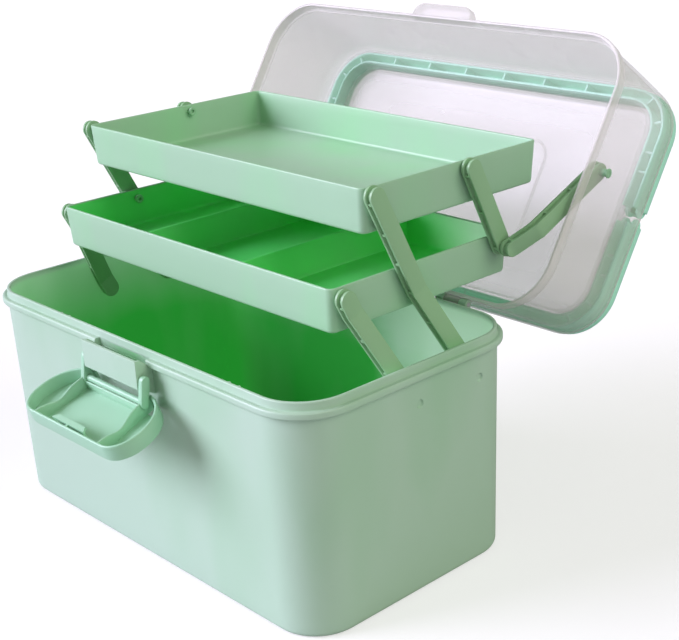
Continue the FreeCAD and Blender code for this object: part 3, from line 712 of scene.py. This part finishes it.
makePiece("handle_rear_half", handleParts(), "handle_rear", handlePlastic,
          ["handle_rear"], bevel=0.25, turn=opened)
makePiece("handle_front_half", [flipped(p) for p in handleParts()], "handle_front", handlePlastic,
          ["handle_front"], bevel=0.25, turn=opened)
stubProfile = [(148.0, 1.2), (148.0, 1.9), (155.6, 1.95), (156.1, 1.5), (156.1, 0.4)]
for side in ("right", "left"):
    stubs = []
    for y in (-handle["end"], handle["end"]):
        stub = rod((y, handle["pivotZ"]), stubProfile)
        stubs.append(stub if side == "right" else mirrored(stub))
    makePiece("handle_stub_pins_" + side, stubs, "lid", pinPlastic, ["handle_pins_" + side],
              turn=opened)
print("handle made")


tray = {"topHalf": (138.0, 75.85), "bottomHalf": (136.3, 74.6), "radius": 5.0, "wall": 2.0, "height": 27.5,
        "edge": 2.0, "floorFillet": 2.2, "lip": 0.85, "divider": 0.9, "dividerX": 49.0, "dividerHeight": 24.0,
        "shade": {"upper_tray": 0.04, "lower_tray": 0.95},
        "rearGlow": {"upper_tray": 0.0, "lower_tray": 0.92}}


def trayShell(node):
    # Section of a tray as (offset, height): flat underside, rounded bottom edge, leaning wall, rounded
    # lip, inner wall and inner fillet, lofted round the plan.
    low, high = nodeBox(node)
    centre, base = (low[1] + high[1]) / 2, low[2]
    w, h, e, lip, f = tray["wall"], tray["height"], tray["edge"], tray["lip"], tray["floorFillet"]

    def row(offset, z):
        t = z / h
        half = np.array(tray["bottomHalf"]) * (1 - t) + np.array(tray["topHalf"]) * t + offset
        return (half[0], half[1], max(tray["radius"] + offset, 0.5), base + z)

    path = [(-9.0, 0.0)] + arc((-e, e), e, -90, 0, 5) + [(0.0, z) for z in (7.0, 14.0, 20.0)]
    path += arc((-lip, h - lip), lip, 0, 90, 4) + arc((-w + lip, h - lip), lip, 90, 180, 4)
    path += [(-w, z) for z in (20.0, 12.0, w + f + 1)] + arc((-w - f, w + f), f, 0, -90, 5) + [(-9.0, w)]
    grid = loft([row(o, z) for o, z in path], unitLoop(7, np.linspace(-0.85, 0.85, 6)), centre)
    # Painted shade inside, as strong as the tray's shade; toward the right end of the lower tray's rear wall
    # the shade lifts and painted light glows instead.
    inner = np.zeros(grid.shape[:2])
    inside = np.array([o <= -w + 0.01 for o, z in path]) & (np.arange(len(path)) > 8)
    rearWall = smoothStep((grid[..., 1] - centre - 50) / 15) * smoothStep((grid[..., 2] - base - 2.5) / 4)
    paintedLightMask = tray["rearGlow"][node] * rearWall
    inner[inside] = (tray["shade"][node] * (1 - paintedLightMask * smoothStep((grid[..., 0] - 58) / 30)))[inside]
    paintedGlow = np.zeros(grid.shape[:2])
    paintedGlow[inside] = (paintedLightMask * 0.40 * smoothStep((grid[..., 0] - 66) / 30))[inside]
    return surface(grid), inner.ravel(), paintedGlow.ravel(), centre, base


def trayDividers(centre, base):
    # Walls across the lower tray with a rounded top, running into both long walls.
    half, height, t = tray["bottomHalf"][1] - 1.0, tray["dividerHeight"], tray["divider"]
    top = arc((0.0, height - t), t, 0, 180, 6)
    outline = [(-t - 0.9, 1.5), (t + 0.9, 1.5), (t + 0.25, 2.6), (t, 4.0)]
    outline += top + [(-t, 4.0), (-t - 0.25, 2.6)]
    parts = []
    for x in (-tray["dividerX"], tray["dividerX"]):
        parts.append(slab([(x + a, base + b) for a, b in outline], centre - half, centre + half,
                          lambda a, b, c: (a, c, b)))
    return parts


for node in ("upper_tray", "lower_tray"):
    shell, innerShade, paintedGlow, centre, base = trayShell(node)
    walls = trayDividers(centre, base) if node == "lower_tray" else []
    # The dividers are painted with shade, 0.9 of the way to the deeper tint.
    shades = np.concatenate([innerShade] + [np.full(len(p[0]), 0.9) for p in walls])
    paintedGlow = np.concatenate([paintedGlow] + [np.zeros(len(p[0])) for p in walls])
    makePiece(node + "_shell", [shell] + walls, node, trayPlastic, [node],
              values={"inner": shades, "paintedGlow": paintedGlow})
print("trays made")


arm = {"half": 6.25, "thick": 6.0, "plate": 1.75, "inset": 1.9, "edge": 0.45, "slim": 0.5, "tick": 1.5,
       "tickPitch": 21.0, "trayX": 139.25, "tubX": 154.75, "heel": 9.0, "knee": 66.0,
       "lidLinkX": (146.25, 156.5), "lidLinkBend": (113.2, 205.0), "lidLinkFolds": (-2.0, 16.7)}


def barGrid(path, half, x0, x1, shift, span=None, edge=0.4, folds=()):
    # Bar carried along a Y-Z path. Its half width is constant and falls as a circle past each end pivot,
    # its section is a rounded rectangle, and shift gives the sideways joggle at each distance along the
    # path.
    points = np.array(path, float)
    lengths = np.hypot(*np.diff(points, axis=0).T)
    total = lengths.sum()
    marks = np.concatenate([[0], np.cumsum(lengths)])
    bends = list(marks[1:-1])
    if span is None:
        ends = half * np.cos(np.linspace(0, math.pi / 2, 9))
        crisp = [b + d for b in bends for d in (-2.2, 0.0, 2.2)]
        apart = [f for f in folds if f > 0 and all(abs(f - b) > 1 for b in bends)]
        crisp += [f + d for f in apart for d in (-0.7, -0.2, 0.2, 0.7)]
        inner = np.linspace(0, total, max(int(total / 6), 8))[1:-1]
        inner = [v for v in inner if all(abs(v - c) > 1.2 for c in crisp)]
        s = np.concatenate([-ends, np.sort(np.array(inner + crisp)), total + ends[::-1]])
    else:
        s = np.linspace(span[0], span[1], 4)
    beyond = np.maximum(-s, 0) + np.maximum(s - total, 0)
    h = np.sqrt(np.maximum(half ** 2 - beyond ** 2, 0.02))
    first = (points[1] - points[0]) / lengths[0]
    last = (points[-1] - points[-2]) / lengths[-1]

    def at(place):
        inside = np.stack([np.interp(place, marks, points[:, k]) for k in (0, 1)], 1)
        return inside + np.minimum(place, 0)[:, None] * first + np.maximum(place - total, 0)[:, None] * last

    centre = at(s)
    tangent = at(s + 1.0) - at(s - 1.0)
    tangent /= np.linalg.norm(tangent, axis=1)[:, None]
    normal = np.stack([-tangent[:, 1], tangent[:, 0]], 1)
    signs, directions = unitLoop(2, [0.0])
    r = np.minimum(edge, h * 0.9)[:, None]
    across = signs[None, :, 0] * (h[:, None] - r) + directions[None, :, 0] * r
    rx = np.minimum(edge, (x1 - x0) * 0.45)
    x = (x0 + x1) / 2 + signs[None, :, 1] * ((x1 - x0) / 2 - rx) + directions[None, :, 1] * rx
    x = x + shift(s)[:, None]
    yy = centre[:, :1] + normal[:, :1] * across
    zz = centre[:, 1:] + normal[:, 1:] * across
    return surface(np.stack([np.broadcast_to(x, yy.shape), yy, zz], 2))


def linkParts(path, shift, folds):
    # Two outer plates, a narrower core between them and small ribs across the groove that the core
    # leaves.
    t, plate, half, inset = arm["thick"], arm["plate"], arm["half"], arm["inset"]
    total = np.hypot(*np.diff(np.array(path, float), axis=0).T).sum()
    parts = [barGrid(path, half, 0, plate, shift, edge=arm["edge"], folds=folds),
             barGrid(path, half - arm["slim"], t - plate, t, shift, edge=arm["edge"], folds=folds),
             barGrid(path, half - inset, plate - 0.2, t - plate + 0.2, shift, folds=folds)]
    count = max(int(total / arm["tickPitch"]), 2)
    for s in np.linspace(2.0, total - 2.0, count + 1):
        parts.append(barGrid(path, half - 0.5, plate - 0.2, t - plate + 0.2, shift,
                             (s - arm["tick"] / 2, s + arm["tick"] / 2), 0.2))
    return parts


def joggle(lowX, highX, heel, knee):
    # Sideways place along a link: one level up to the heel, another past the knee, a straight slope between.
    return lambda s: lowX + (highX - lowX) * np.clip((s - heel) / (knee - heel), 0, 1)


frontTub = jointPoint("front_arm_right_pivot")
rearTub = jointPoint("rear_arm_right_pivot")
lowerMiddle = jointPoint("lower_tray_pivot")
upperFront = jointPoint("upper_tray_pivot")
lowerRear = jointPoint("upper_link_right_pivot")
lidEnd = jointPoint("lid_link_right_pivot")
lowerFront = frontTub + (lowerMiddle - rearTub)
upperRear = lowerRear + (upperFront - lowerMiddle)
lidBend = np.array(arm["lidLinkBend"])
links = {
    "front_arm": ([frontTub, lowerFront], arm["tubX"], arm["trayX"], (arm["heel"], arm["knee"])),
    "rear_arm": ([rearTub, upperFront], arm["tubX"], arm["trayX"], (arm["heel"], arm["knee"])),
    "upper_link": ([lowerRear, upperRear], arm["trayX"], arm["trayX"], (10.0, 20.0)),
    "lid_link": ([lowerRear, lidBend, lidEnd], *arm["lidLinkX"], arm["lidLinkFolds"]),
}
for name, (path, x0, x1, folds) in links.items():
    parts = linkParts(path, joggle(x0, x1, *folds), folds if x0 != x1 else ())
    for side in ("right", "left"):
        node = name + "_" + side
        made = parts if side == "right" else [mirrored(p) for p in parts]
        makePiece(node + "_bar", made, node, armPlastic, [node])


def trayPin(point):
    # Snap pin through the tray's wall: shank, a groove and a rounded head with a hollow end inside the
    # tray.
    return rod(point, [(133.6, 0.9), (132.3, 1.2), (132.1, 1.8), (132.05, 2.5), (132.3, 3.0), (132.9, 3.15),
                       (133.4, 3.0), (133.6, 2.5), (142.5, 2.5)])


def wallPin(point, low, tip, head):
    # Pin out to the wall: a plain shank, with a flat rivet head where one shows.
    profile = [(low, 2.5), (tip, 2.5)]
    if head:
        profile += [(tip, 2.9), (tip + 0.3, 3.15), (tip + 0.8, 3.1), (tip + 1.1, 2.6), (tip + 1.15, 1.4),
                    (tip + 0.8, 1.1)]
    else:
        profile += [(tip, 2.0), (tip - 0.3, 1.2)]
    return rod(point, profile)


pins = {
    "front_arm_tub_pin": ("front_arm", wallPin(frontTub, 158.0, 163.0, False)),
    "rear_arm_tub_pin": ("rear_arm", wallPin(rearTub, 158.0, 163.0, False)),
    "front_arm_tray_pin": ("front_arm", trayPin(lowerFront)),
    "rear_arm_lower_pin": ("rear_arm", trayPin(lowerMiddle)),
    "rear_arm_upper_pin": ("rear_arm", trayPin(upperFront)),
    "upper_link_lower_pin": ("upper_link", trayPin(lowerRear)),
    "upper_link_upper_pin": ("upper_link", trayPin(upperRear)),
    "lid_link_pin": ("lid_link", wallPin(lidEnd, 159.5, 168.0, True)),
}
for name, (body, part) in pins.items():
    for side in ("right", "left"):
        made = part if side == "right" else mirrored(part)
        makePiece(name + "_rivet_" + side, [made], body + "_" + side, pinPlastic,
                  [name + "_" + side])
print("arms made")


latch = {"tilt": 20.0, "origin": (-91.0, 128.0), "depth": 11.0, "wall": 1.9, "nearX": 28.5, "nearU": 3.9,
         "halfWidth": 55.0, "side": 31.0, "frontX": 38.0, "far": 50.9, "ribNear": 30.5, "ribFar": 35.0,
         "ribDip": 3.8, "floor": -9.2, "barNear": 8.2, "barFar": 12.0, "lip": 17.5,
         "fullness": 0.92, "ribWall": 1.5, "fingerX": (29.5, 33.5), "fingerHalf": 2.9}


def latchPlane(points):
    # Latch plane to the box: x stays, u runs away from the tub and down at the tilt, w is square to it.
    a = math.radians(latch["tilt"])
    x, u, w = points[..., 0], points[..., 1], points[..., 2]
    y = latch["origin"][0] - u * math.cos(a) - w * math.sin(a)
    z = latch["origin"][1] - u * math.sin(a) + w * math.cos(a)
    return np.stack([x, y, z], -1)


def latchOutline():
    # Right half of the plan: a quarter ellipse out from the near corner, a smaller one in to the front
    # edge.
    a, b = latch["halfWidth"] - latch["nearX"], latch["side"] - latch["nearU"]
    near = np.radians(np.linspace(-90, 0, 22))
    first = np.stack([latch["nearX"] + a * np.cos(near), latch["side"] + b * np.sin(near)], 1)
    c, d = latch["halfWidth"] - latch["frontX"], latch["far"] - latch["side"]
    turn = np.radians(np.linspace(0, 90, 18))[1:]
    across, out = np.cos(turn) ** latch["fullness"], np.sin(turn) ** latch["fullness"]
    second = np.stack([latch["frontX"] + c * across, latch["side"] + d * out], 1)
    return np.concatenate([first, second])


def wallAlong(path, thickness, low, top):
    # Upright wall whose middle follows a path in the latch's plane, with a rounded top; low and top are
    # numbers or one value for each point.
    points = np.array(path, float)
    tangent = np.gradient(points, axis=0)
    tangent /= np.linalg.norm(tangent, axis=1)[:, None]
    normal = np.stack([-tangent[:, 1], tangent[:, 0]], 1)
    top = np.broadcast_to(np.asarray(top, float), (len(points),))
    low = np.broadcast_to(np.asarray(low, float), (len(points),))
    r = thickness / 2
    angle = np.radians(np.linspace(0, 180, 7))
    offsets = np.concatenate([[r * 0.8, r], r * np.cos(angle), [-r, -r * 0.8]])
    lift = np.concatenate([[0, 0.3], r * np.sin(angle) - r, [0.3, 0]])
    isTop = np.concatenate([[False, False], np.ones(7, bool), [False, False]])
    height = np.where(isTop[None], top[:, None] + lift[None], low[:, None] + lift[None])
    x = points[:, :1] + normal[:, :1] * offsets[None]
    u = points[:, 1:] + normal[:, 1:] * offsets[None]
    return surface(np.stack([x, u, height], 2))


def latchFloor(u0, u1, x0=None, x1=None):
    # Floor plate between two distances; where no x is given its sides follow the plan, just inside the
    # wall.
    right = latchOutline()
    u = np.linspace(u0, u1, max(int((u1 - u0) / 1.5), 2) + 1)
    reach = np.interp(u, right[:, 1], right[:, 0]) - 0.6
    left = -reach if x0 is None else np.full(len(u), x0)
    reach = reach if x1 is None else np.full(len(u), x1)
    low, high = -latch["depth"] + 0.15, latch["floor"]
    corners = [(left, low), (reach, low), (reach, high), (left, high)]
    grid = np.stack([np.stack([x, u, np.full(len(u), w)], 1) for x, w in corners], 1)
    return surface(grid)


def latchParts():
    # Outer wall, two S-topped ribs, floor with a slot behind the front wall, cross bar and pull lip.
    right = latchOutline()
    inset = latch["wall"] / 2
    curve = right.copy()
    tangent = np.gradient(curve, axis=0)
    tangent /= np.linalg.norm(tangent, axis=1)[:, None]
    curve += np.stack([-tangent[:, 1], tangent[:, 0]], 1) * inset
    front = np.stack([np.linspace(curve[-1, 0], -curve[-1, 0], 16)[1:-1], np.full(14, curve[-1, 1])], 1)
    wallPath = np.concatenate([curve, front, (curve * np.array([-1, 1]))[::-1]])
    parts = [wallAlong(wallPath, latch["wall"], -latch["depth"], 0.0)]
    for side in (-1, 1):
        u = np.linspace(latch["nearU"] + 0.6, latch["far"] - 1.2, 40)
        t = (u - u[0]) / (u[-1] - u[0])
        x = side * (latch["ribNear"] + (latch["ribFar"] - latch["ribNear"]) * t)
        dip = latch["ribDip"] * np.exp(-((u - 33.0) / 8.5) ** 2)
        parts.append(wallAlong(np.stack([x, u], 1), latch["ribWall"], latch["floor"] - 0.8, -dip))
    parts.append(latchFloor(12.2, 46.4))
    parts.append(latchFloor(47.8, 50.0))
    for x0, x1 in ((-44.0, -31.0), (-0.8, 0.8), (31.0, 44.0)):
        parts.append(latchFloor(46.2, 48.0, x0, x1))
    bar = np.stack([np.linspace(-31.5, 31.5, 12), np.full(12, (latch["barNear"] + latch["barFar"]) / 2)], 1)
    parts.append(wallAlong(bar, latch["barFar"] - latch["barNear"], -3.4, -0.2))
    back = np.stack([np.linspace(-30.5, 30.5, 12), np.full(12, 12.9)], 1)
    parts.append(wallAlong(back, latch["ribWall"], latch["floor"] - 0.8, -3.0))
    for points, low, high in (
            ([(-latch["lip"], 47.7), (-14.5, 44.0), (14.5, 44.0), (latch["lip"], 47.7)], -1.9, -0.1),
            ([(-13.5, 45.2), (13.5, 45.2), (13.5, 46.8), (-13.5, 46.8)], latch["floor"] - 0.5, -1.5),
            ([(-0.8, 47.0), (0.8, 47.0), (0.8, 49.6), (-0.8, 49.6)], -2.4, -0.5)):
        parts.append(slab(points, low, high, lambda a, b, c: (a, b, c)))
    return [moved(p, latchPlane) for p in parts]


def latchFingers():
    # Two fingers from the ends of the bar up to the pivot, with round ends about the pins.
    pivot = jointPoint("latch_pivot")
    foot = latchPlane(np.array([[0.0, 11.0, -2.2]]))[0, 1:]
    finger = barGrid([foot, pivot], latch["fingerHalf"], *latch["fingerX"], np.zeros_like, edge=0.7)
    pin = rod(pivot, [(26.9, 0.6), (26.9, 1.5), (27.2, 1.8), (32.4, 1.8)])
    return finger, pin


finger, latchPin = latchFingers()
makePiece("latch_cup", latchParts() + [finger, mirrored(finger)], "latch", latchPlastic,
          ["front_latch"])
makePiece("latch_pivot_pins", [latchPin, mirrored(latchPin)], "latch", pinPlastic,
          ["latch_pins"])
for name in ("hinge_pin_right", "hinge_pin_left"):
    frame["nodes"][name].data.materials.clear()
    frame["nodes"][name].data.materials.append(steel)
print("latch made")


stage = {"size": 40.0, "floor": (0.50, 0.50, 0.505), "glow": 0.56, "ambient": 0.32, "backdrop": 1.15,
         "behindClear": 0.58, "air": (1.0, 0.985, 0.96)}
lamps = {
    "key": {"from": (-0.594, -0.708, 0.383), "energy": 3.7, "angle": 40.0, "colour": (1.06, 0.95, 1.25)},
    "fill": {"from": (0.795, 0.198, 0.574), "energy": 1.15, "angle": 45.0, "colour": (1.0, 1.0, 0.86)},
}


def seenDirectly(tree):
    # 1 for what is seen straight, less for what is seen through the clear lid, 0 for other rays: the room
    # looks dimmer through the lid than beside it.
    path = tree.nodes.new("ShaderNodeLightPath")
    through = mathNode(tree, "MINIMUM", path.outputs["Transparent Depth"], 1.0)
    dimmed = mathNode(tree, "MULTIPLY_ADD", through, stage["behindClear"] - 1.0, 1.0)
    return mathNode(tree, "MULTIPLY", path.outputs["Is Camera Ray"], dimmed)


def floorMaterial():
    # Pale paper: a faint cloudiness, from noise, in colour, and a little light of its own.
    material = bpy.data.materials.new("paperFloor")
    material.use_nodes = True
    tree = material.node_tree
    shader = tree.nodes["Principled BSDF"]
    where = tree.nodes.new("ShaderNodeTexCoord").outputs["Object"]
    cloud = noiseNode(tree, where, 3.0, 4.0)
    pale = mixColour(tree, cloud, stage["floor"], tuple(0.99 * c for c in stage["floor"]))
    tree.links.new(pale, shader.inputs["Base Color"])
    shader.inputs["Emission Color"].default_value = (1.0, 1.0, 1.0, 1)
    glow = mathNode(tree, "MULTIPLY", seenDirectly(tree), stage["glow"])
    tree.links.new(glow, shader.inputs["Emission Strength"])
    shader.inputs["Roughness"].default_value = 0.8
    return material


def makeStage():
    # Level floor under the box.
    half = stage["size"] / 2
    mesh = bpy.data.meshes.new("floor")
    corners = [(-half, -half, 0), (half, -half, 0), (half, half, 0), (-half, half, 0)]
    mesh.from_pydata(corners, [], [(0, 1, 2, 3)])
    floor = bpy.data.objects.new("floor", mesh)
    bpy.context.scene.collection.objects.link(floor)
    mesh.materials.append(floorMaterial())


def makeLights():
    # Even studio light from all round, a soft key from the front left and a weaker fill from the right.
    world = bpy.data.worlds.new("studio")
    bpy.context.scene.world = world
    world.use_nodes = True
    back = world.node_tree.nodes["Background"]
    back.inputs["Color"].default_value = (*stage["air"], 1)
    seen = seenDirectly(world.node_tree)
    above = stage["backdrop"] - stage["ambient"]
    strength = mathNode(world.node_tree, "MULTIPLY_ADD", seen, above, stage["ambient"])
    world.node_tree.links.new(strength, back.inputs["Strength"])
    for name, lamp in lamps.items():
        light = bpy.data.lights.new(name, "SUN")
        light.energy = lamp["energy"]
        light.angle = math.radians(lamp["angle"])
        light.color = lamp["colour"]
        holder = bpy.data.objects.new(name, light)
        bpy.context.scene.collection.objects.link(holder)
        holder.rotation_mode = "QUATERNION"
        holder.rotation_quaternion = Vector(lamp["from"]).to_track_quat("Z", "Y")


view = {"azimuth": 46.4, "elevation": 22.342, "roll": -2.207, "place": (666.333, -502.173, 446.015),
        "lens": 70.791, "shift": (-0.0688, 0.0623)}


def makeCamera():
    # Camera at a place, turned to its azimuth and elevation and then rolled about its own axis.
    a, e, r = (math.radians(view[k]) for k in ("azimuth", "elevation", "roll"))
    back = Vector((math.sin(a) * math.cos(e), -math.cos(a) * math.cos(e), math.sin(e)))
    right = Vector((0, 0, 1)).cross(back).normalized()
    up = back.cross(right)
    turnedRight = right * math.cos(r) + up * math.sin(r)
    turnedUp = up * math.cos(r) - right * math.sin(r)
    data = bpy.data.cameras.new("camera")
    data.lens = view["lens"]
    data.sensor_width = 36.0
    data.shift_x, data.shift_y = view["shift"]
    data.clip_start, data.clip_end = 0.05, 60.0
    camera = bpy.data.objects.new("camera", data)
    bpy.context.scene.collection.objects.link(camera)
    turn = Matrix((turnedRight, turnedUp, back)).transposed().to_4x4()
    camera.matrix_world = Matrix.Translation(Vector(view["place"]) * mm) @ turn
    bpy.context.scene.camera = camera


makeStage()
makeLights()
makeCamera()
bpy.context.scene.view_settings.view_transform = "Standard"
print("stage made")
